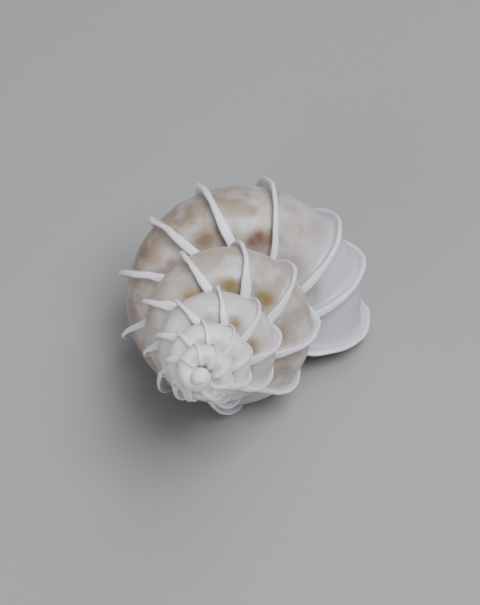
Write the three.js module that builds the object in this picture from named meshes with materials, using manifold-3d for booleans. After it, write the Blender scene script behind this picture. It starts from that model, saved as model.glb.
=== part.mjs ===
// A wentletrap seashell: one round tube coiled so loosely that its whorls stand clear of each other,
// joined only where the thin ribs of one whorl meet those of the whorl above.
// Millimetres, +Z up. The shell lies at rest on its lip and on two ribs of the last whorl.
// It is first built upright, its coiling axis along Z and the point of the spiral at the origin.
import * as THREE from 'three';
import { mergeVertices } from 'three/addons/utils/BufferGeometryUtils.js';
import Module from 'manifold-3d';

const wasm = await Module();
wasm.setup();

const TURN = 2 * Math.PI;
const DEGREE = Math.PI / 180;

// The coil. These sizes are those at the mouth, and all of them shrink by WHORL_RATIO with each turn
// back towards the tip. A place on the shell is named by how many turns it lies back from the mouth.
const WHORL_RATIO = 0.69;
const COIL_RADIUS = 11.9; // from the axis to the middle of the tube
const COIL_DROP = 53.3; // from the spiral's end point down to the middle of the tube
const TUBE_RADIUS = 7.8;

// A section across the tube doesn't stand upright: its top leans ahead, the way the shell grew, and
// its outer side hangs back a little.
const SECTION_LEAN = 20.6 * DEGREE;
const SECTION_SWING = -11.5 * DEGREE;

// The ribs, each a flat blade round the tube in the plane of a section. They are old lips.
const RIB_REACH = 1.24; // rim of a rib, in tube radii
const RIB_INNER_LOSS = 0.13; // how much lower the blade is towards the hollow axis, in tube radii
const RIB_THICKNESS = 0.6;
const LIP_THICKNESS = 1.5;
const THINNING = 0.5; // the blades thin out more slowly than the coil shrinks: its root

// Where a rib meets the ribs of its neighbour whorls, its rim stands out to grow onto them.
const TOP_JOINT_SIDE = 100 * DEGREE; // angle round the section, from outwards over the top
const BASE_JOINT_SIDE = 286 * DEGREE;
const JOINT_REACH = 0.06; // extra reach there, in tube radii
const JOINT_SPREAD = 24 * DEGREE;

// Ribs of the last whorl crowd towards the mouth. The ribs before them stand about 9 to a turn, and
// from there on each one grew where it met the rib 8 places later on the whorl below.
const LAST_WHORL_RIBS = [0, 0.082, 0.143, 0.245, 0.336, 0.416, 0.502, 0.593, 0.692, 0.802, 0.917];
const RIBS_BEFORE_THEM = [1.034, 1.148, 1.255, 1.368, 1.485, 1.594, 1.714, 1.829];
const RIB_LINES = 8;
const RIB_LINE_STEP = 0.907; // turns between two ribs that meet

// The whorl of the larva, at the tip, has no ribs. It coils tighter and tighter until it closes on
// itself, in a round knob. The knob is made of balls along the end of the coil.
const RIBS_END = 4.5;
const CURL_START = 4.3;
const CURL_LOSS = 0.78; // share of the coil's radius that is lost by the tip
const KNOB_START = 4.65;
const COIL_TURNS = 5.1; // the tip
const KNOB_RADIUS = 1.43; // true millimetres, as the knob doesn't shrink
const KNOB_BALLS = 4;
const KNOB_SIDES = 10;
const KNOB_BANDS = 7;
const LARVAL_RINGS = 3;
const DOME_RISES = [75, 50, 25]; // degrees up the dome that closes the tube inside the knob

// The mouth is open, and the hollow of the tube follows the coil inwards from it.
const BORE = 0.91; // radius of the hollow, in tube radii
const HOLLOW_TURNS = 3.0;
const MOUTH_FLARE = 1.5; // the hollow is carried this far out past the lip, to cut it open

// Facets: sides of the section at the mouth, and how they are let go towards the tip.
const MOST_SIDES = 20;
const FEWEST_SIDES = 10;
const SIDES_LOST_PER_TURN = 2.6;
const HOLLOW_SIDES = 14;
const HOLLOW_STEPS_PER_TURN = 15;
const RINGS_BETWEEN_RIBS = 2;
const RIBS_PER_SEGMENT = 8; // under one turn, so that a segment never touches itself

// The pose at rest: a spin about the upright axis, then the axis tipped over towards -Y.
const REST_SPIN = -20.25 * DEGREE;
const REST_TIP = 56.68 * DEGREE;

const SHELL_COLOUR = 0xe9e4dc;

function shrinkAt(turn) {
  return WHORL_RATIO ** turn;
}

// The share of the coil's radius that is left where the tip curls in: 1 away from the tip.
function curlAt(turn) {
  return 1 - CURL_LOSS * THREE.MathUtils.smoothstep(turn, CURL_START, COIL_TURNS);
}

// The centre of the tube and the three directions of its section: out, up and ahead.
function sectionAt(turn) {
  const angle = TURN * turn;
  const outward = new THREE.Vector3(Math.cos(angle), Math.sin(angle), 0);
  const onward = new THREE.Vector3(Math.sin(angle), -Math.cos(angle), 0);
  const axis = new THREE.Vector3(0, 0, 1);
  const centre = outward.clone().multiplyScalar(COIL_RADIUS * curlAt(turn));
  centre.addScaledVector(axis, -COIL_DROP);
  centre.multiplyScalar(shrinkAt(turn));
  const up = axis.clone().multiplyScalar(Math.cos(SECTION_LEAN));
  up.addScaledVector(onward, Math.sin(SECTION_LEAN));
  const level = onward.clone().multiplyScalar(Math.cos(SECTION_LEAN));
  level.addScaledVector(axis, -Math.sin(SECTION_LEAN));
  const out = outward.clone().multiplyScalar(Math.cos(SECTION_SWING));
  out.addScaledVector(level, Math.sin(SECTION_SWING));
  const ahead = out.clone().cross(up);
  return { centre, out, up, ahead };
}

// One ring of points round the tube. reachAt gives the radius at each side, in tube radii, and
// offset moves the whole ring ahead along the tube.
function ringAt(turn, sides, reachAt, offset) {
  const { centre, out, up, ahead } = sectionAt(turn);
  const radius = TUBE_RADIUS * shrinkAt(turn);
  const ring = [];
  for (let i = 0; i < sides; i += 1) {
    const side = TURN * i / sides;
    const reach = radius * reachAt(side);
    const point = centre.clone().addScaledVector(ahead, offset);
    point.addScaledVector(out, reach * Math.cos(side));
    point.addScaledVector(up, reach * Math.sin(side));
    ring.push(point);
  }
  return ring;
}

function tubeReach() {
  return 1;
}

// A smooth swelling round one side of the section, 1 at its middle.
function swelling(side, middle, spread) {
  const apart = Math.atan2(Math.sin(side - middle), Math.cos(side - middle));
  return Math.exp(-((apart / spread) ** 2));
}

function ribReach(side) {
  const facingAxis = Math.max(0, -Math.cos(side)) ** 2;
  const top = swelling(side, TOP_JOINT_SIDE, JOINT_SPREAD);
  const base = swelling(side, BASE_JOINT_SIDE, JOINT_SPREAD);
  return RIB_REACH - RIB_INNER_LOSS * facingAxis + JOINT_REACH * (top + base);
}

function lipReach(side) {
  return RIB_REACH - RIB_INNER_LOSS * Math.max(0, -Math.cos(side)) ** 2;
}

// A closed solid through a row of rings, which run the way the shell grew. Each end is closed by a
// fan of faces from the middle of its ring.
function loft(rings) {
  const sides = rings[0].length;
  const corners = rings.flat();
  const faces = [];
  for (let r = 0; r + 1 < rings.length; r += 1) {
    for (let i = 0; i < sides; i += 1) {
      const next = (i + 1) % sides;
      const back = r * sides;
      const front = back + sides;
      faces.push(back + i, back + next, front + next);
      faces.push(back + i, front + next, front + i);
    }
  }
  for (const [start, flipped] of [[0, true], [(rings.length - 1) * sides, false]]) {
    const middle = new THREE.Vector3();
    for (let i = 0; i < sides; i += 1) {
      middle.addScaledVector(corners[start + i], 1 / sides);
    }
    corners.push(middle);
    for (let i = 0; i < sides; i += 1) {
      const next = (i + 1) % sides;
      const pair = flipped ? [start + next, start + i] : [start + i, start + next];
      faces.push(...pair, corners.length - 1);
    }
  }
  return new wasm.Manifold(new wasm.Mesh({
    numProp: 3,
    vertProperties: new Float32Array(corners.flatMap((corner) => corner.toArray())),
    triVerts: new Uint32Array(faces),
  }));
}

// Every rib from the mouth back: where it stands and how thick its blade is.
function listRibs() {
  const turns = [...LAST_WHORL_RIBS, ...RIBS_BEFORE_THEM];
  let next = turns.at(-RIB_LINES) + RIB_LINE_STEP;
  while (next < RIBS_END) {
    turns.push(next);
    next = turns.at(-RIB_LINES) + RIB_LINE_STEP;
  }
  return turns.map((turn) => {
    const thickness = turn === 0 ? LIP_THICKNESS : RIB_THICKNESS;
    return { turn, thickness: thickness * shrinkAt(turn) ** THINNING };
  });
}

// The stretch of tube up to a rib, as rings spread evenly over the gap.
function gapRings(fromTurn, toTurn, sides) {
  const rings = [];
  for (let i = 1; i <= RINGS_BETWEEN_RIBS; i += 1) {
    const turn = fromTurn + (toTurn - fromTurn) * i / (RINGS_BETWEEN_RIBS + 1);
    rings.push(ringAt(turn, sides, tubeReach, 0));
  }
  return rings;
}

// One rib's blade: up to its back face, round the rim, and down its front face unless it ends a
// segment, where the flat front closes the solid.
function bladeRings(rib, sides, isLast) {
  const half = rib.thickness / 2;
  const reach = rib.turn === 0 ? lipReach : ribReach;
  const rings = [
    ringAt(rib.turn, sides, tubeReach, -half),
    ringAt(rib.turn, sides, reach, -half),
    ringAt(rib.turn, sides, reach, half),
  ];
  if (!isLast) {
    rings.push(ringAt(rib.turn, sides, tubeReach, half));
  }
  return rings;
}

// The tube without ribs, oldest first: a dome that closes its end, and then the rings.
function larvalRings(sides) {
  const rings = [];
  const radius = TUBE_RADIUS * shrinkAt(KNOB_START);
  for (const rise of DOME_RISES) {
    const narrowing = Math.cos(rise * DEGREE);
    rings.push(ringAt(KNOB_START, sides, () => narrowing, -radius * Math.sin(rise * DEGREE)));
  }
  for (let i = 0; i <= LARVAL_RINGS; i += 1) {
    const turn = KNOB_START + (RIBS_END - KNOB_START) * i / LARVAL_RINGS;
    rings.push(ringAt(turn, sides, tubeReach, 0));
  }
  return rings;
}

// A run of tube with its ribs, oldest first. It starts inside the blade of the rib before it.
function makeSegment(ribs, ribBefore) {
  const sides = Math.round(Math.max(FEWEST_SIDES, MOST_SIDES - SIDES_LOST_PER_TURN * ribs[0].turn));
  const rings = ribBefore ? [ringAt(ribBefore.turn, sides, tubeReach, 0)] : larvalRings(sides);
  let turn = ribBefore ? ribBefore.turn : RIBS_END;
  ribs.forEach((rib, index) => {
    rings.push(...gapRings(turn, rib.turn, sides));
    rings.push(...bladeRings(rib, sides, index === ribs.length - 1));
    turn = rib.turn;
  });
  return loft(rings);
}

function makeHollow() {
  const rings = [];
  const steps = Math.round(HOLLOW_TURNS * HOLLOW_STEPS_PER_TURN);
  for (let i = steps; i >= 0; i -= 1) {
    rings.push(ringAt(HOLLOW_TURNS * i / steps, HOLLOW_SIDES, () => BORE, 0));
  }
  rings.push(ringAt(0, HOLLOW_SIDES, () => BORE, MOUTH_FLARE));
  return loft(rings);
}

function makeBall(centre) {
  const ball = new THREE.SphereGeometry(KNOB_RADIUS, KNOB_SIDES, KNOB_BANDS);
  ball.rotateX(TURN / 4);
  ball.translate(centre.x, centre.y, centre.z);
  ball.deleteAttribute('normal');
  ball.deleteAttribute('uv');
  const merged = mergeVertices(ball);
  return new wasm.Manifold(new wasm.Mesh({
    numProp: 3,
    vertProperties: merged.attributes.position.array,
    triVerts: new Uint32Array(merged.index.array),
  }));
}

// The knob in which the shell began, in the middle of the tip.
function makeKnob() {
  let knob = makeBall(sectionAt(COIL_TURNS).centre);
  for (let i = 1; i < KNOB_BALLS; i += 1) {
    const turn = COIL_TURNS + (KNOB_START - COIL_TURNS) * i / KNOB_BALLS;
    knob = knob.add(makeBall(sectionAt(turn).centre));
  }
  return knob;
}

function makeShell() {
  const ribs = listRibs().reverse();
  const ribsOfTip = ribs.length % RIBS_PER_SEGMENT;
  let solid = makeKnob().add(makeSegment(ribs.slice(0, ribsOfTip), null));
  for (let i = ribsOfTip; i < ribs.length; i += RIBS_PER_SEGMENT) {
    solid = solid.add(makeSegment(ribs.slice(i, i + RIBS_PER_SEGMENT), ribs[i - 1]));
  }
  return solid.subtract(makeHollow());
}

// The finished solid as a three.js geometry, laid down in its pose at rest with its lowest points at
// Z = 0 and the middle of its outline over the origin.
function toRestingGeometry(solid) {
  const { vertProperties, triVerts } = solid.getMesh();
  const geometry = new THREE.BufferGeometry();
  geometry.setAttribute('position', new THREE.BufferAttribute(vertProperties, 3));
  geometry.setIndex(new THREE.BufferAttribute(triVerts, 1));
  geometry.rotateZ(REST_SPIN);
  geometry.rotateX(REST_TIP);
  geometry.computeBoundingBox();
  const { min, max } = geometry.boundingBox;
  geometry.translate(-(min.x + max.x) / 2, -(min.y + max.y) / 2, -min.z);
  const merged = mergeVertices(geometry);
  merged.computeVertexNormals();
  return merged;
}

const shell = new THREE.Mesh(
  toRestingGeometry(makeShell()),
  new THREE.MeshStandardMaterial({ color: SHELL_COLOUR, roughness: 0.35, metalness: 0 }),
);
shell.name = 'shell';

const wentletrap = new THREE.Group();
wentletrap.add(shell);
export default wentletrap;
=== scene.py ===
# %% [markdown]
# A wentletrap shell, from one ring of points
#
# This lesson models a seashell: a round tube that coils round an axis and widens as it goes, with
# thin ribs standing up from it. A snail builds such a shell at its mouth only, ring by ring, so the
# ring is our tool as well. We extrude it, turn it and shrink it, again and again.
#
# The first cell loads the fixed model of the shell that this finer one has to fit, and keeps its box.

# %% Load the frame
import math
import random
import bmesh
import bpy
import numpy as np
from mathutils import Matrix, Vector


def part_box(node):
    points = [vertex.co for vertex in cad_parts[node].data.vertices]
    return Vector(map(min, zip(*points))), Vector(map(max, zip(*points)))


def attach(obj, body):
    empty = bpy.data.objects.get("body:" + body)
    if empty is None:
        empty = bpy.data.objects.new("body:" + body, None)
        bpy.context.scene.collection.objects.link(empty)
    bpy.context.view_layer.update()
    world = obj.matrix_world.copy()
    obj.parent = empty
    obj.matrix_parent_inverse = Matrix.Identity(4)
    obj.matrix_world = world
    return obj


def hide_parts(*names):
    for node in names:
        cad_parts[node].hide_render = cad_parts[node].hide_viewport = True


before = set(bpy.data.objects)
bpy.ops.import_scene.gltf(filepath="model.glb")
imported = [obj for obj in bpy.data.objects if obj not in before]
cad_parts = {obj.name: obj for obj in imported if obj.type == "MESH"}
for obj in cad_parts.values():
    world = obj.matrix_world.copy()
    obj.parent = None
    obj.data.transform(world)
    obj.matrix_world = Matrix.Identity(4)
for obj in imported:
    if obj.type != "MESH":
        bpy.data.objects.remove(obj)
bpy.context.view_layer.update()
cad_low, cad_high = (Vector(corner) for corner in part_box("shell"))
print("the shell's box in mm:", [round(1000 * size, 1) for size in cad_high - cad_low])

# %% [markdown]
# The shell's growth in a few numbers
#
# The whole coil is one shape repeated smaller and smaller round an axis. So every size below is the
# size at the mouth, and a whole turn further back each is 0.69 of it. A place on the shell is named
# by its turns back from the mouth. Only the tip breaks the rule: there the coil closes in a knob. The
# other way would be to draw a spiral curve and sweep a circle along it, but a sweep turns its circle
# square to the curve, and the rings of this shell lean.

# %% Growth numbers
MM = 0.001
WHORL_RATIO = 0.69
COIL_RADIUS = 11.9 * MM  # from the axis to the middle of the tube
COIL_DROP = 53.3 * MM  # from the end of the spiral down to the middle of the tube
TUBE_RADIUS = 7.8 * MM
CURL_START = 4.3  # where the coil begins to close, in turns back from the mouth
CURL_LOSS = 0.78  # the share of the coil's radius that is gone at the tip
COIL_TURNS = 5.1  # the tip
KNOB_RADIUS = 1.43 * MM
SECTION_LEAN = math.radians(20.6)  # how far the top of a ring leans ahead
SECTION_SWING = math.radians(-11.5)  # how far its outer side hangs back


def shrink_at(turn):
    return WHORL_RATIO ** turn


def radius_at(turn):
    """The tube's radius there. It never gets smaller than the knob at the tip."""
    return max(TUBE_RADIUS * shrink_at(turn), KNOB_RADIUS)


def curl_at(turn):
    """The share of the coil's radius that is left where the tip curls in."""
    share = min(max((turn - CURL_START) / (COIL_TURNS - CURL_START), 0), 1)
    return 1 - CURL_LOSS * share * share * (3 - 2 * share)


def section_at(turn):
    """The middle of the tube there, and a matrix whose columns point out, up and ahead."""
    angle = math.tau * turn
    outward = Vector((math.cos(angle), math.sin(angle), 0))
    onward = Vector((math.sin(angle), -math.cos(angle), 0))
    axis = Vector((0, 0, 1))
    centre = (COIL_RADIUS * curl_at(turn) * outward - COIL_DROP * axis) * shrink_at(turn)
    up = axis * math.cos(SECTION_LEAN) + onward * math.sin(SECTION_LEAN)
    level = onward * math.cos(SECTION_LEAN) - axis * math.sin(SECTION_LEAN)
    out = outward * math.cos(SECTION_SWING) + level * math.sin(SECTION_SWING)
    return centre, Matrix((out, up, out.cross(up))).transposed()


def place_on(turn, side):
    """A point at that side of the section, in degrees from outwards over the top."""
    centre, directions = section_at(turn)
    arm = Vector((math.cos(math.radians(side)), math.sin(math.radians(side)), 0))
    return centre + directions @ arm * radius_at(turn)


for turn in range(5):
    print(turn, "turns back, the tube is", round(2000 * radius_at(turn), 1), "mm across")

# %% [markdown]
# Where the ribs stand
#
# Each rib is an old lip: the snail paused there and flared the mouth. The last whorl has eleven of
# them, crowding towards the mouth. Further back, a rib always grew where it met a rib of the whorl
# above, so we list the ribs of the last two whorls and let a loop find the rest.

# %% Rib places
# In turns back from the mouth. The one at 0 is the lip.
LAST_WHORL_RIBS = [0, 0.082, 0.143, 0.245, 0.336, 0.416, 0.502, 0.593, 0.692, 0.802, 0.917]
RIBS_BEFORE_THEM = [1.034, 1.148, 1.255, 1.368, 1.485, 1.594, 1.714, 1.829]
RIB_LINES = 8
RIB_LINE_STEP = 0.907  # turns between two ribs that meet
RIBS_END = 4.5

rib_turns = LAST_WHORL_RIBS + RIBS_BEFORE_THEM
while rib_turns[-RIB_LINES] + RIB_LINE_STEP < RIBS_END:
    rib_turns.append(rib_turns[-RIB_LINES] + RIB_LINE_STEP)
print(len(rib_turns), "ribs, the lip among them")

# %% [markdown]
# Four moves of a ring
#
# In edit mode a snail's work is four small moves. Extrude copies the ring in place and joins it to
# the old one with faces. Carry turns and shrinks it about the end of the spiral. Flare scales it in
# its own plane, and push slides it along the tube. Near the tip, carry also shifts the ring a little
# towards the axis, because the coil closes there. Without a window, Blender's rotate turns the other
# way, so its angle has the other sign here. All of it could be typed as lists of coordinates, but
# then nobody could see how the shell grows.
#
# We also keep a diary: one line for each ring, with its turns back from the mouth and its rise up a
# rib. The colours and the growth lines are worked out from it at the end.

# %% Ring moves
RING_SIDES = 36
INSIDE = -1.0  # stands in the diary for the rise of a ring on the inner wall
LEAST_DRIFT = 0.001 * MM

diary = []


def deselect_objects():
    if bpy.context.object and bpy.context.object.mode != "OBJECT":
        bpy.ops.object.mode_set(mode="OBJECT")
    bpy.ops.object.select_all(action="DESELECT")


def extrude_ring(rise):
    bpy.ops.mesh.extrude_region_move(TRANSFORM_OT_translate={"value": (0, 0, 0)})
    diary.append({"turn": diary[-1]["turn"], "rise": rise})


def carry(to_turn):
    from_turn = diary[-1]["turn"]
    angle = math.tau * (to_turn - from_turn)
    factor = radius_at(to_turn) / radius_at(from_turn)
    bpy.ops.transform.rotate(
        value=-angle, orient_axis="Z", orient_type="GLOBAL", center_override=(0, 0, 0))
    bpy.ops.transform.resize(value=(factor, factor, factor), center_override=(0, 0, 0))
    came_to = Matrix.Rotation(angle, 3, "Z") @ section_at(from_turn)[0] * factor
    drift = section_at(to_turn)[0] - came_to
    if drift.length > LEAST_DRIFT:
        bpy.ops.transform.translate(value=drift)
    diary[-1]["turn"] = to_turn


def flare(turn, outwards, upwards, off_middle=0.0):
    """Scales the ring in its own plane, about a point off_middle tube radii towards the axis."""
    centre, directions = section_at(turn)
    about = centre - directions.col[0] * off_middle * radius_at(turn)
    bpy.ops.transform.resize(
        value=(outwards, upwards, 1), orient_type="GLOBAL", orient_matrix=directions,
        orient_matrix_type="GLOBAL", center_override=about)


def push(turn, distance):
    bpy.ops.transform.translate(value=section_at(turn)[1].col[2] * distance)


print("a ring has", RING_SIDES, "points")

# %% [markdown]
# The inside of the shell
#
# We start deep inside, where nobody will ever look, with a filled circle that closes the hollow. From
# there the ring is carried forwards to the mouth. This gives the wall its true inner face, and the
# tube stays one closed skin, as it is on the real shell. A Solidify modifier could thicken an open
# tube too, but it would also thicken each rib.

# %% Inner wall
INNER_END = 1.7
INNER_STEPS = 40
BORE = 0.91

deselect_objects()
centre, directions = section_at(INNER_END)
bpy.ops.mesh.primitive_circle_add(
    vertices=RING_SIDES, radius=radius_at(INNER_END) * BORE, fill_type="NGON",
    location=centre, rotation=directions.to_euler())
shell = bpy.context.object
shell.name = "wentletrap"
bpy.ops.object.transform_apply(location=True, rotation=True, scale=True)
bpy.ops.object.mode_set(mode="EDIT")
bpy.ops.mesh.select_all(action="SELECT")
bpy.ops.mesh.region_to_loop()
diary.append({"turn": INNER_END, "rise": INSIDE})
for step in range(INNER_STEPS):
    extrude_ring(INSIDE)
    carry(INNER_END * (1 - (step + 1) / INNER_STEPS))
print("inner wall:", len(diary), "rings so far")

# %% [markdown]
# The lip
#
# The lip is thicker than any rib, because the snail stopped here and kept laying down shell. Its
# front is a soft roll that turns outwards from the hollow. Each row of the list is one ring: how far
# it reaches in tube radii, and how far it stands ahead of the mouth's plane in millimetres.

# %% Lip
LIP_ROLL = [
    (0.925, 0.35), (0.96, 0.66), (1.02, 0.80), (1.10, 0.76), (1.17, 0.60), (1.22, 0.36),
    (1.235, 0.05), (1.215, -0.24), (1.15, -0.36), (1.08, -0.38), (1.03, -0.42), (1.0, -0.60),
]
RIB_UPWARDS = 1.24

reach_now = BORE
ahead_now = 0.0
for reach, ahead in LIP_ROLL:
    extrude_ring(max(0.0, (reach - 1) / (RIB_UPWARDS - 1)))
    push(0, (ahead - ahead_now) * MM)
    factor = reach / reach_now
    flare(0, factor, factor)
    reach_now = reach
    ahead_now = ahead
extrude_ring(0.0)
push(0, -ahead_now * MM)
print("the lip stands", max(reach for reach, ahead in LIP_ROLL), "tube radii wide")

# %% [markdown]
# The ribs and the tube between them
#
# Now the ring travels back along the outside. At each rib it is flared into a thin blade, taken
# round the rim and brought down again on the other side. Scaling about a point off the middle keeps
# the blade low towards the hollow axis, where the real ribs are low too. The blade leans back a
# little as it rises, and it is thickest at the rim. Small seeded differences in height and thickness
# keep the ribs from looking machined.

# %% Ribs
# A full blade makes the ring RIB_OUTWARDS times wider and RIB_UPWARDS times taller.
RIB_OUTWARDS = 1.175
RIB_OFF_MIDDLE = 0.371
RIB_THICKNESS = 0.72
THICKNESS_RANGE = (0.85, 1.2)
HEIGHT_RANGE = (0.94, 1.05)
THINNING = 0.5  # towards the tip the ribs thin out by the square root of the coil's shrinking
RIB_LEAN_BACK = 0.35
RIM_SHARE = 0.9
FOOT = 0.3
FOOT_ROOM = 1.15
GAP_RINGS = 3
# Each ring of a blade: its share of the full flare, its place across the blade's thickness from the
# front (1) to the back (-1), and its place in the foot that rounds the blade into the tube.
BLADE_RINGS = [
    (0.0, 1, 1.0), (0.12, 0.9, 0.2), (0.5, 0.75, 0.0), (0.93, 1.2, 0.0), (1.0, 0.7, 0.0),
    (1.0, -0.7, 0.0), (0.93, -1.25, 0.0), (0.5, -0.8, 0.0), (0.12, -0.9, -0.2), (0.0, -1, -1.0),
]

dice = random.Random(4)
rim_rings = {}


def foot_turns(turn, half_blade):
    """The stretch of tube, in turns, from the middle of a blade to the end of its foot."""
    shrink = shrink_at(turn)
    inner_way = math.tau * (COIL_RADIUS - TUBE_RADIUS) * shrink
    return FOOT_ROOM * (half_blade + FOOT * MM * shrink) / inner_way


def grow_rib(turn, thickness):
    shrink = shrink_at(turn)
    height = dice.uniform(*HEIGHT_RANGE)
    outwards_now = 1.0
    upwards_now = 1.0
    ahead_now = 0.0
    rim_rings[turn] = []
    for share, across, foot_share in BLADE_RINGS:
        extrude_ring(share)
        outwards = 1 + (RIB_OUTWARDS - 1) * height * share
        upwards = 1 + (RIB_UPWARDS - 1) * height * share
        flare(turn, outwards / outwards_now, upwards / upwards_now, RIB_OFF_MIDDLE)
        ahead = across * thickness / 2 + foot_share * FOOT * MM * shrink
        ahead -= RIB_LEAN_BACK * MM * shrink ** THINNING * share ** 2
        push(turn, ahead - ahead_now)
        outwards_now = outwards
        upwards_now = upwards
        ahead_now = ahead
        if share > RIM_SHARE:
            rim_rings[turn].append(len(diary) - 1)
    extrude_ring(0.0)
    push(turn, -ahead_now)


lip_back = -LIP_ROLL[-1][1] * MM
foot_before = foot_turns(0, lip_back)
for before, turn in zip(rib_turns, rib_turns[1:]):
    thickness = RIB_THICKNESS * MM * shrink_at(turn) ** THINNING * dice.uniform(*THICKNESS_RANGE)
    foot_next = foot_turns(turn, thickness / 2)
    start = before + foot_before
    end = turn - foot_next
    for step in range(GAP_RINGS):
        if step > 0:
            extrude_ring(0.0)
        carry(start + (end - start) * step / (GAP_RINGS - 1))
    extrude_ring(0.0)
    carry(turn)
    grow_rib(turn, thickness)
    foot_before = foot_next
print("ribs done:", len(diary), "rings")

# %% [markdown]
# The tip
#
# The oldest bit of the shell is the smooth whorl that the young snail hatched with. It has no ribs,
# and it curls in until it closes on itself in a round knob. Carry already follows that curl, so the
# ring only has to go on to the tip, where a small dome closes it.

# %% Tip
TIP_STEPS = 16
DOME_STEPS = 6
DOME_END = math.radians(82)

last_rib = rib_turns[-1]
tip_start = last_rib + foot_before
for step in range(TIP_STEPS + 1):
    if step > 0:
        extrude_ring(0.0)
    carry(tip_start + (COIL_TURNS - tip_start) * step / TIP_STEPS)
for step in range(1, DOME_STEPS + 1):
    angle = DOME_END * step / DOME_STEPS
    angle_before = DOME_END * (step - 1) / DOME_STEPS
    extrude_ring(0.0)
    factor = math.cos(angle) / math.cos(angle_before)
    flare(COIL_TURNS, factor, factor)
    push(COIL_TURNS, -KNOB_RADIUS * (math.sin(angle) - math.sin(angle_before)))
bpy.ops.mesh.edge_face_add()
print("closed with", len(diary), "rings and", len(bmesh.from_edit_mesh(shell.data).verts), "points")

# %% [markdown]
# Where ribs meet
#
# The whorls of this shell don't touch. Each rib stands out a little where it meets a rib of the
# whorl above and one of the whorl below, and the ribs are fused there. Towards the seam it also
# broadens into a flat band, most of all on the older whorls. So we go round all the rims once more,
# pick the points on that side, and pull or widen them in two steps.

# %% Rib joints
# Sides and widths are in degrees round the ring. Each step takes in fewer points than the one before.
JOINT_SIDES = (100, 286)
JOINT_WIDTHS = (30, 18)
JOINT_REACH = 0.06
BAND_SIDE = 88
BAND_WIDTHS = (46, 26)
BAND_WIDENING = 1.4
OLD_BAND_WIDENING = 1.6


def select_rim(turn, side, width):
    """Selects a rib's rim within width degrees of a side, and gives the middle of what it picked."""
    centre = section_at(turn)[0]
    towards = place_on(turn, side) - centre
    bpy.ops.mesh.select_all(action="DESELECT")
    mesh = bmesh.from_edit_mesh(shell.data)
    mesh.verts.ensure_lookup_table()
    chosen = []
    for ring in rim_rings[turn]:
        for point in mesh.verts[ring * RING_SIDES:(ring + 1) * RING_SIDES]:
            if (point.co - centre).angle(towards) < math.radians(width):
                point.select = True
                chosen.append(point.co)
    mesh.select_flush(True)
    return sum(chosen, Vector()) / len(chosen)


for turn in rim_rings:
    centre, directions = section_at(turn)
    for side in JOINT_SIDES:
        for width in JOINT_WIDTHS:
            select_rim(turn, side, width)
            pull = (place_on(turn, side) - centre) * JOINT_REACH / len(JOINT_WIDTHS)
            bpy.ops.transform.translate(value=pull)
    widening = BAND_WIDENING if turn < 1 else OLD_BAND_WIDENING
    for width in BAND_WIDTHS:
        middle = select_rim(turn, BAND_SIDE, width)
        bpy.ops.transform.resize(
            value=(1, 1, widening), orient_type="GLOBAL", orient_matrix=directions,
            orient_matrix_type="GLOBAL", center_override=middle)
bpy.ops.mesh.select_all(action="SELECT")
bpy.ops.mesh.normals_make_consistent(inside=False)
bpy.ops.object.mode_set(mode="OBJECT")
print(2 * len(rim_rings), "joints pulled out")

# %% [markdown]
# The diary goes onto the mesh
#
# The rings were made in order, so the first 36 points belong to the first ring, and so on. Two
# attributes now give each point its turns back from the mouth and its rise up a rib. A vertex group
# of the rims will let the next step bend them. The Subdivision Surface blends all three smoothly.

# %% Attributes
point_turns = np.repeat([ring["turn"] for ring in diary], RING_SIDES)
point_rises = np.repeat([ring["rise"] for ring in diary], RING_SIDES)
for name, values in (("turns_back", point_turns), ("rise", point_rises)):
    shell.data.attributes.new(name, "FLOAT", "POINT").data.foreach_set("value", values)
rims = shell.vertex_groups.new(name="rims")
for number, ring in enumerate(diary):
    if ring["rise"] > 0:
        points = list(range(number * RING_SIDES, (number + 1) * RING_SIDES))
        rims.add(points, ring["rise"] * shrink_at(ring["turn"]) ** THINNING, "REPLACE")
print("attributes:", [layer.name for layer in shell.data.attributes if layer.name[0] != "."])

# %% [markdown]
# A smooth and slightly uneven skin
#
# A Subdivision Surface turns the 36-sided rings into round ones and rounds the rims. One Displace
# modifier with soft noise then makes the shell a little uneven, as grown things are, and a second
# one bends the rims to and fro. All three are applied, because the marks of the next step are worked
# out from the finished skin.

# %% Subdivide and displace
UNEVENNESS = 0.16
UNEVEN_SPAN = 5.5
RIM_WAVE = 0.75
RIM_WAVE_SPAN = 4.5


def add_noise(name, kind, span):
    clouds = bpy.data.textures.new(name, "CLOUDS")
    clouds.cloud_type = kind
    clouds.noise_scale = span * MM
    clouds.noise_depth = 1
    return clouds


rounding = shell.modifiers.new("rounding", "SUBSURF")
rounding.levels = 1
rounding.render_levels = 1
uneven = shell.modifiers.new("unevenness", "DISPLACE")
uneven.texture = add_noise("soft lumps", "GRAYSCALE", UNEVEN_SPAN)
uneven.strength = UNEVENNESS * MM
wave = shell.modifiers.new("rim wave", "DISPLACE")
wave.texture = add_noise("waves", "COLOR", RIM_WAVE_SPAN)
wave.direction = "RGB_TO_XYZ"
wave.vertex_group = "rims"
wave.strength = RIM_WAVE * MM
for modifier in (uneven, wave):
    modifier.texture_coords = "LOCAL"
    modifier.mid_level = 0.5
for name in ("rounding", "unevenness", "rim wave"):
    bpy.ops.object.modifier_apply(modifier=name)
bpy.ops.object.shade_smooth()
print("skin:", len(shell.data.polygons), "faces")
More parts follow.
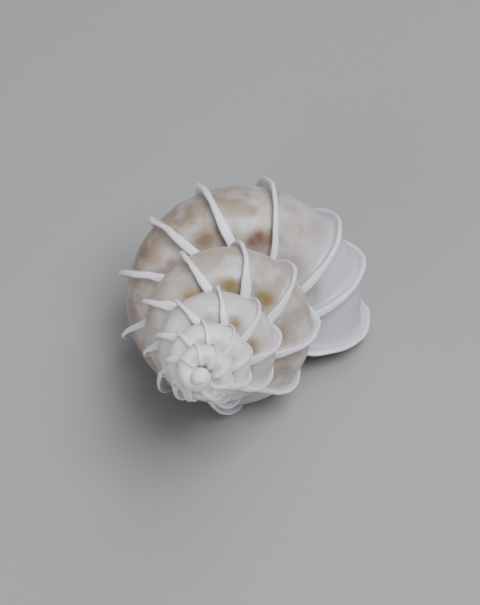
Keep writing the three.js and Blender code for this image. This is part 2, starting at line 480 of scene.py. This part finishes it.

# %% [markdown]
# Marks that follow the coil
#
# The colours of the shell follow its growth: brown clouds on the outer side of the tube, and a small
# ochre or brown spot in each gap between two ribs, right under the whorl above. A few strong spots
# are real stains, and every gap also gets a faint spot that is painted shade, where the pocket
# between two ribs lies under the whorl above. Each mark is a place on the coil, a size and a
# strength, and it is painted onto the points of the mesh as with a soft brush. A texture in object
# space couldn't tell the seam from the crown.

# %% Marks on the skin
CLOUD_MARKS = [
    # turns back, side in degrees, size in mm, strength
    (0.262, 80, 1.8, 0.80), (0.276, 45, 1.8, 0.60), (0.298, 22, 2.6, 0.85), (0.325, 8, 2.6, 0.70),
    (0.385, 84, 1.6, 0.60), (0.350, 76, 1.8, 0.50), (0.385, 36, 2.4, 0.80), (0.375, 8, 2.8, 0.75),
    (0.440, 12, 2.8, 0.75), (0.470, 30, 2.4, 0.85), (0.490, 6, 3.0, 0.90), (0.552, 36, 2.4, 0.75),
    (0.565, 8, 3.0, 0.95), (0.640, 20, 3.2, 0.95), (0.720, 10, 3.2, 0.90), (0.790, 22, 3.0, 0.80),
    (0.860, 40, 2.6, 0.65), (0.208, 39, 1.8, 0.50), (0.240, 4, 2.6, 0.50), (0.176, 30, 1.6, 0.35),
    (0.964, 48, 1.8, 0.70), (1.516, 15, 1.8, 0.55), (1.400, 20, 1.8, 0.45), (1.300, 34, 1.5, 0.35),
    (1.100, 30, 1.9, 0.45), (1.640, 12, 1.8, 0.40), (1.220, 50, 1.6, 0.30), (2.550, 15, 1.3, 0.30),
    (5.100, 90, 0.25, 0.60),
]
SPOT_SIDE = 84
SPOT_SIZE = 1.15
SPOT_DABS = 3
DAB_SHIFT = 0.018
DAB_SIDES = (-10, 6)
DAB_SIZES = (0.7, 1.1)
DAB_STRENGTHS = (0.8, 1.0)
# The faint spots are painted shade: darker in each pocket between two ribs, under the whorl above.
FAINT_SHADE_SPOTS = (0.1, 0.4)
# The place of each strong spot in turns back from the mouth, and its strength.
STRONG_SPOTS = {0.277: 1.0, 0.384: 0.8, 0.980: 0.8, 1.080: 0.8, 1.195: 0.95, 1.304: 1.0, 1.430: 0.85,
                2.100: 0.8, 2.220: 0.65}

place_count = len(shell.data.vertices)
places = np.empty(place_count * 3)
shell.data.vertices.foreach_get("co", places)
places = places.reshape(-1, 3)


def paint_marks(name, marks):
    amount = np.zeros(place_count)
    for turn, side, size, strength in marks:
        apart = np.linalg.norm(places - np.array(place_on(turn, side)), axis=1) / (size * MM)
        amount = 1 - (1 - amount) * (1 - strength * np.exp(-apart ** 2))
    shell.data.attributes.new(name, "FLOAT", "POINT").data.foreach_set("value", amount)


stain_and_shade_dabs = []


def add_stain_and_shade_spot(turn, strength):
    """A few overlapping dabs, so that no spot is a plain round dot."""
    size = SPOT_SIZE * shrink_at(turn) ** THINNING
    for dab in range(SPOT_DABS):
        stain_and_shade_dabs.append((
            turn + dice.uniform(-DAB_SHIFT, DAB_SHIFT), SPOT_SIDE + dice.uniform(*DAB_SIDES),
            size * dice.uniform(*DAB_SIZES), strength * dice.uniform(*DAB_STRENGTHS)))


for turn, strength in STRONG_SPOTS.items():
    add_stain_and_shade_spot(turn, strength)
# A faint spot in every gap between two ribs: painted shade in the pocket under the whorl above.
for before, turn in zip(rib_turns[1:], rib_turns[2:]):
    add_stain_and_shade_spot((before + turn) / 2, dice.uniform(*FAINT_SHADE_SPOTS))
paint_marks("clouds", CLOUD_MARKS)
paint_marks("stain_and_shade_spots", stain_and_shade_dabs)
print(len(CLOUD_MARKS), "clouds and", len(stain_and_shade_dabs), "stain_and_shade_spots")

# %% [markdown]
# Laying the shell down
#
# The upright shell is turned into the pose in which it really rests, on its lip and two ribs. The
# turn is applied, so the object itself stays at the origin, and its box then meets the fixed model's.

# %% Rest pose
REST_SPIN = math.radians(-20.25)
REST_TIP = math.radians(56.68)

turned = Matrix.Rotation(REST_TIP, 4, "X") @ Matrix.Rotation(REST_SPIN, 4, "Z")
shell.data.transform(turned)
corners = np.empty(place_count * 3)
shell.data.vertices.foreach_get("co", corners)
corners = corners.reshape(-1, 3)
low, high = Vector(corners.min(axis=0)), Vector(corners.max(axis=0))
spiral_end = (cad_low + cad_high) / 2 - (low + high) / 2
spiral_end.z = cad_low.z - low.z
shell.data.transform(Matrix.Translation(spiral_end))
shell.data.update()
print("the spiral would end at", [round(1000 * c, 2) for c in spiral_end], "mm")

# %% [markdown]
# The shell's material
#
# The wall is aragonite, thin enough to let light through: creamy white, with the sheen of china. So
# the Principled shader gets a little subsurface light and a soft coat. The tube is cream on the last
# whorl and whiter towards the worn tip. Clouds and spots are broken up by noise. The blades of the
# ribs are a cool grey-white, and their rims are the whitest of all.

# %% Material helpers
china = bpy.data.materials.new("shell_china")
china.use_nodes = True
nodes = china.node_tree.nodes
links = china.node_tree.links
nodes.clear()


def plug(value, socket):
    """Links an output into the socket, or sets a plain value on it."""
    if isinstance(value, bpy.types.NodeSocket):
        links.new(value, socket)
    else:
        socket.default_value = value


def mix_colour(factor, first, second):
    """A Mix node keeps its colours in the inputs 6 and 7 and in the output 2."""
    mix = nodes.new("ShaderNodeMix")
    mix.data_type = "RGBA"
    plug(factor, mix.inputs[0])
    plug(first, mix.inputs[6])
    plug(second, mix.inputs[7])
    return mix.outputs[2]


def maths(operation, first, second):
    step = nodes.new("ShaderNodeMath")
    step.operation = operation
    step.use_clamp = True
    plug(first, step.inputs[0])
    plug(second, step.inputs[1])
    return step.outputs[0]


def span(value, low, high, least=0.0):
    """Least at low, 1 at high and smooth between. Low may be the larger of the two."""
    step = nodes.new("ShaderNodeMapRange")
    step.interpolation_type = "SMOOTHSTEP"
    plug(value, step.inputs["Value"])
    step.inputs["From Min"].default_value = low
    step.inputs["From Max"].default_value = high
    step.inputs["To Min"].default_value = least
    return step.outputs["Result"]


def attribute(name):
    reader = nodes.new("ShaderNodeAttribute")
    reader.attribute_name = name
    return reader.outputs["Fac"]


def noise_pattern(scale, detail, roughness=0.5):
    where = nodes.new("ShaderNodeTexCoord").outputs["Object"]
    pattern = nodes.new("ShaderNodeTexNoise")
    links.new(where, pattern.inputs["Vector"])
    pattern.inputs["Scale"].default_value = scale
    pattern.inputs["Detail"].default_value = detail
    pattern.inputs["Roughness"].default_value = roughness
    return pattern.outputs["Fac"]


print("helpers ready")

# %% [markdown]
# Colour
#
# Each layer is mixed over the one before: cream and paler patches, the white of the tip and of the
# newest shell, brown clouds, ochre and brown spots (strong stains, and faint painted shade in the
# pockets between ribs), and last the blades and the rims of the ribs.

# %% Colour
CREAM = (0.46, 0.400, 0.340, 1)
PALE = (0.60, 0.570, 0.550, 1)
NEW_WHITE = (0.64, 0.64, 0.70, 1)
TIP_WHITE = (0.88, 0.86, 0.90, 1)
CLOUD_BROWN = (0.26, 0.17, 0.115, 1)
STAIN_AND_SHADE_BROWN = (0.17, 0.065, 0.018, 1)
STAIN_AND_SHADE_OCHRE = (0.29, 0.190, 0.045, 1)
BLADE_GREY = (0.63, 0.62, 0.71, 1)
RIM_WHITE = (0.92, 0.895, 0.98, 1)
PATCHES_PER_METRE = 300
SPECKS_PER_METRE = 900

patch_noise = noise_pattern(PATCHES_PER_METRE, 2)
spot_noise = noise_pattern(SPECKS_PER_METRE, 2)
turns_back = attribute("turns_back")
rise = attribute("rise")
tube_colour = mix_colour(span(patch_noise, 0.40, 0.62), CREAM, PALE)
tube_colour = mix_colour(span(turns_back, 0.9, 3.9), tube_colour, TIP_WHITE)
tube_colour = mix_colour(span(turns_back, 0.26, 0.10), tube_colour, NEW_WHITE)
cloud_share = maths("MULTIPLY", attribute("clouds"), span(patch_noise, 0.68, 0.36, 0.45))
tube_colour = mix_colour(cloud_share, tube_colour, CLOUD_BROWN)
# Brown and ochre spots: real stains where strong, painted shade where faint, in the pockets between
# ribs.
stain_and_shade_share = maths("MULTIPLY", attribute("stain_and_shade_spots"), span(spot_noise, 0.3, 0.6, 0.75))
stain_and_shade_colour = mix_colour(span(turns_back, 0.5, 1.0), STAIN_AND_SHADE_BROWN, STAIN_AND_SHADE_OCHRE)
tube_colour = mix_colour(stain_and_shade_share, tube_colour, stain_and_shade_colour)
skin_colour = mix_colour(span(rise, 0.03, 0.3), tube_colour, BLADE_GREY)
skin_colour = mix_colour(span(rise, 0.55, 0.90), skin_colour, RIM_WHITE)
print("colour layers mixed")

# %% [markdown]
# Relief and gloss
#
# Growth lines run round the tube, side by side with the ribs, because the mouth paused a little
# every day. One-dimensional noise along the turns gives just such lines, finer and finer towards the
# tip. A fine grain lies over them.

# %% Relief and gloss
LINES_PER_TURN = 170
GRAINS_PER_METRE = 1100
ROUGHEST_GRAIN = 0.16
LEAST_ROUGHNESS = 0.30

lines = nodes.new("ShaderNodeTexNoise")
lines.noise_dimensions = "1D"
links.new(turns_back, lines.inputs["W"])
lines.inputs["Scale"].default_value = LINES_PER_TURN
lines.inputs["Detail"].default_value = 2
line_bump = nodes.new("ShaderNodeBump")
line_bump.inputs["Strength"].default_value = 0.3
line_bump.inputs["Distance"].default_value = 0.00015
links.new(lines.outputs["Fac"], line_bump.inputs["Height"])
grain = noise_pattern(GRAINS_PER_METRE, 4, 0.6)
grain_bump = nodes.new("ShaderNodeBump")
grain_bump.inputs["Strength"].default_value = 0.15
grain_bump.inputs["Distance"].default_value = 0.0001
links.new(grain, grain_bump.inputs["Height"])
links.new(line_bump.outputs["Normal"], grain_bump.inputs["Normal"])

surface = nodes.new("ShaderNodeBsdfPrincipled")
links.new(skin_colour, surface.inputs["Base Color"])
links.new(grain_bump.outputs["Normal"], surface.inputs["Normal"])
dullness = maths("ADD", maths("MULTIPLY", grain, ROUGHEST_GRAIN), LEAST_ROUGHNESS)
links.new(dullness, surface.inputs["Roughness"])
surface.inputs["Subsurface Weight"].default_value = 0.55
surface.inputs["Subsurface Radius"].default_value = (1.0, 0.75, 0.55)
surface.inputs["Subsurface Scale"].default_value = 0.0013
surface.inputs["Coat Weight"].default_value = 0.45
surface.inputs["Coat Roughness"].default_value = 0.28
output = nodes.new("ShaderNodeOutputMaterial")
links.new(surface.outputs["BSDF"], output.inputs["Surface"])
shell.data.materials.clear()
shell.data.materials.append(china)
print("material nodes:", len(nodes))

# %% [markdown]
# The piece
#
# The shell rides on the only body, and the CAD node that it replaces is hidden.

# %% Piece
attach(shell, "root")
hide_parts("shell")
print("triangles:", sum(len(face.vertices) - 2 for face in shell.data.polygons))

# %% [markdown]
# The camera
#
# The picture was taken from above, about 50 degrees over the horizon and 20 degrees off the axis,
# from the tip. The camera stands at that angle, far enough away to give the same mild perspective.
# It is then aimed so that the end of the spiral falls on the same pixel as in the picture.

# %% Camera
PICTURE_WIDTH, PICTURE_HEIGHT = 480, 605
SPIRAL_END_PIXEL = (190.0, 395.8)
PIXELS_PER_METRE = 7200.0
FOCAL_PIXELS = 3000.0
SENSOR_WIDTH = 36.0
CAMERA_TURN = math.radians(-12.4)
CAMERA_RISE = math.radians(51.6)
CAMERA_ROLL = math.radians(-6.9)

towards = Vector((-math.sin(CAMERA_TURN) * math.cos(CAMERA_RISE),
                  -math.cos(CAMERA_TURN) * math.cos(CAMERA_RISE), math.sin(CAMERA_RISE)))
level = Vector((0, 0, 1)).cross(towards).normalized()
upright = towards.cross(level)
picture_up = upright * math.cos(CAMERA_ROLL) - level * math.sin(CAMERA_ROLL)
picture_right = picture_up.cross(towards)
eye = spiral_end + towards * FOCAL_PIXELS / PIXELS_PER_METRE
aim = spiral_end.copy()
aim += picture_right * (PICTURE_WIDTH / 2 - SPIRAL_END_PIXEL[0]) / PIXELS_PER_METRE
aim -= picture_up * (PICTURE_HEIGHT / 2 - SPIRAL_END_PIXEL[1]) / PIXELS_PER_METRE
look = (eye - aim).normalized()
right = picture_up.cross(look).normalized()
camera_data = bpy.data.cameras.new("camera")
camera_data.sensor_fit = "HORIZONTAL"
camera_data.sensor_width = SENSOR_WIDTH
camera_data.lens = SENSOR_WIDTH * FOCAL_PIXELS / PICTURE_WIDTH
camera_data.clip_start = 0.01
camera = bpy.data.objects.new("camera", camera_data)
camera.matrix_world = (Matrix.Translation(eye)
                       @ Matrix((right, look.cross(right), look)).transposed().to_4x4())
bpy.context.scene.collection.objects.link(camera)
bpy.context.scene.camera = camera
print("camera at", [round(c, 3) for c in eye])

# %% [markdown]
# Floor and light
#
# The floor is one large pale plane. The shell was lit softly from close to the camera: what faces us
# is bright, and the sides fall off. So the strongest lamp hangs above the camera and a little to its
# right, a weak one fills from the lower left, and a third lights the floor and the edges from behind.

# %% Floor and lamps
FLOOR_SIZE = 6.0
PAPER_COLOUR = (0.37, 0.37, 0.375, 1)
SKY_COLOUR = (0.9, 0.93, 1.0, 1)
SKY_STRENGTH = 0.20
LAMPS = [
    # name, metres towards the camera, up and right in the picture, size in metres, power in watts
    ("key light", 0.48, 0.17, 0.13, 0.26, 2.5),
    ("fill light", 0.36, -0.18, -0.28, 0.25, 0.6),
    ("back light", 0.25, 0.50, 0.15, 0.40, 1.0),
]

deselect_objects()
bpy.ops.mesh.primitive_plane_add(size=FLOOR_SIZE, location=(0, 0, 0))
floor = bpy.context.object
floor.name = "floor"
paper = bpy.data.materials.new("pale_paper")
paper.use_nodes = True
paper_surface = paper.node_tree.nodes["Principled BSDF"]
paper_surface.inputs["Base Color"].default_value = PAPER_COLOUR
paper_surface.inputs["Roughness"].default_value = 0.9
floor.data.materials.append(paper)


def add_lamp(name, place, size, power):
    light = bpy.data.lights.new(name, "AREA")
    light.size = size
    light.energy = power
    lamp = bpy.data.objects.new(name, light)
    lamp.location = place
    lamp.rotation_euler = place.to_track_quat("Z", "Y").to_euler()
    bpy.context.scene.collection.objects.link(lamp)


for name, near, high, aside, size, power in LAMPS:
    add_lamp(name, towards * near + picture_up * high + picture_right * aside, size, power)
world = bpy.data.worlds.new("studio")
world.use_nodes = True
sky = world.node_tree.nodes["Background"]
sky.inputs["Color"].default_value = SKY_COLOUR
sky.inputs["Strength"].default_value = SKY_STRENGTH
bpy.context.scene.world = world
